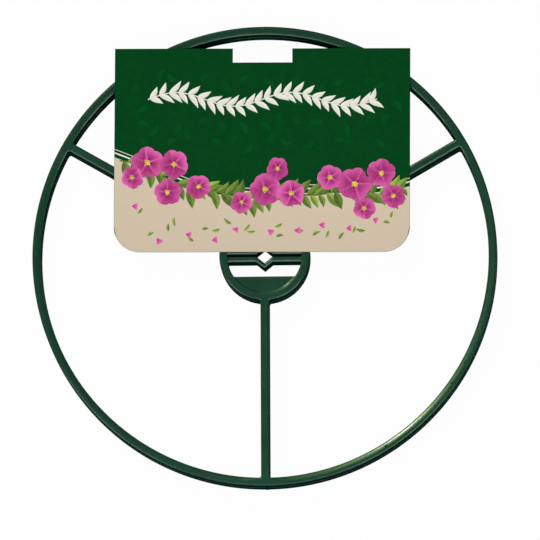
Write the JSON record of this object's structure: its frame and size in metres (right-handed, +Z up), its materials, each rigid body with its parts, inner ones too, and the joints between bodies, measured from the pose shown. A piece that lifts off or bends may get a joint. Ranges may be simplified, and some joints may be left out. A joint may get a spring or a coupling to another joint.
{
  "type": "plant support ring set",
  "caption": "Stacked flat plant support rings, each a spoked hoop with a hub whose sprung notched bars grip a garden cane, with a retail header card lying on top.",
  "frame": {"origin": "centre of the rings, on the underside of the lower ring", "axes": "+Z up along the cane, +Y towards the card, -Y towards the front spoke"},
  "size_m": [0.3, 0.3, 0.0206],
  "materials": {
    "ring_plastic": "dark green moulded plastic, semi-gloss, with edge sheen",
    "card_board": "printed paperboard with a satin varnish"
  },
  "bodies": {
    "lower_ring": {"lower_rim": "ring_plastic", "lower_spoke_left": "ring_plastic", "lower_spoke_right": "ring_plastic", "lower_spoke_front": "ring_plastic", "lower_hub": "ring_plastic", "lower_web_front": "ring_plastic", "lower_web_rear": "ring_plastic"},
    "lower_grip_front": {"lower_grip_front": "ring_plastic"},
    "lower_grip_rear": {"lower_grip_rear": "ring_plastic"},
    "upper_ring": {"upper_rim": "ring_plastic", "upper_spoke_left": "ring_plastic", "upper_spoke_right": "ring_plastic", "upper_spoke_front": "ring_plastic", "upper_hub": "ring_plastic", "upper_web_front": "ring_plastic", "upper_web_rear": "ring_plastic"},
    "upper_grip_front": {"upper_grip_front": "ring_plastic"},
    "upper_grip_rear": {"upper_grip_rear": "ring_plastic"},
    "header_card": {"header_card": "card_board"}
  },
  "joints": [
    {"name": "upper_ring_lift", "type": "slide", "parent": "lower_ring", "child": "upper_ring", "axis": [0, 0, 1], "range_m": [0, 0.06]},
    {"name": "header_card_lift", "type": "slide", "parent": "upper_ring", "child": "header_card", "axis": [0, 0, 1], "range_m": [0, 0.04]},
    {"name": "lower_grip_front_spread", "type": "slide", "parent": "lower_ring", "child": "lower_grip_front", "axis": [0, -1, 0], "range_m": [0, 0.002], "stiffness_N_per_m": 2000},
    {"name": "lower_grip_rear_spread", "type": "slide", "parent": "lower_ring", "child": "lower_grip_rear", "axis": [0, 1, 0], "range_m": [0, 0.002], "stiffness_N_per_m": 2000},
    {"name": "upper_grip_front_spread", "type": "slide", "parent": "upper_ring", "child": "upper_grip_front", "axis": [0, -1, 0], "range_m": [0, 0.002], "stiffness_N_per_m": 2000},
    {"name": "upper_grip_rear_spread", "type": "slide", "parent": "upper_ring", "child": "upper_grip_rear", "axis": [0, 1, 0], "range_m": [0, 0.002], "stiffness_N_per_m": 2000}
  ],
  "couplings": [
    {"joint": "lower_grip_rear_spread", "follows": "lower_grip_front_spread", "ratio": 1},
    {"joint": "upper_grip_rear_spread", "follows": "upper_grip_front_spread", "ratio": 1}
  ]
}
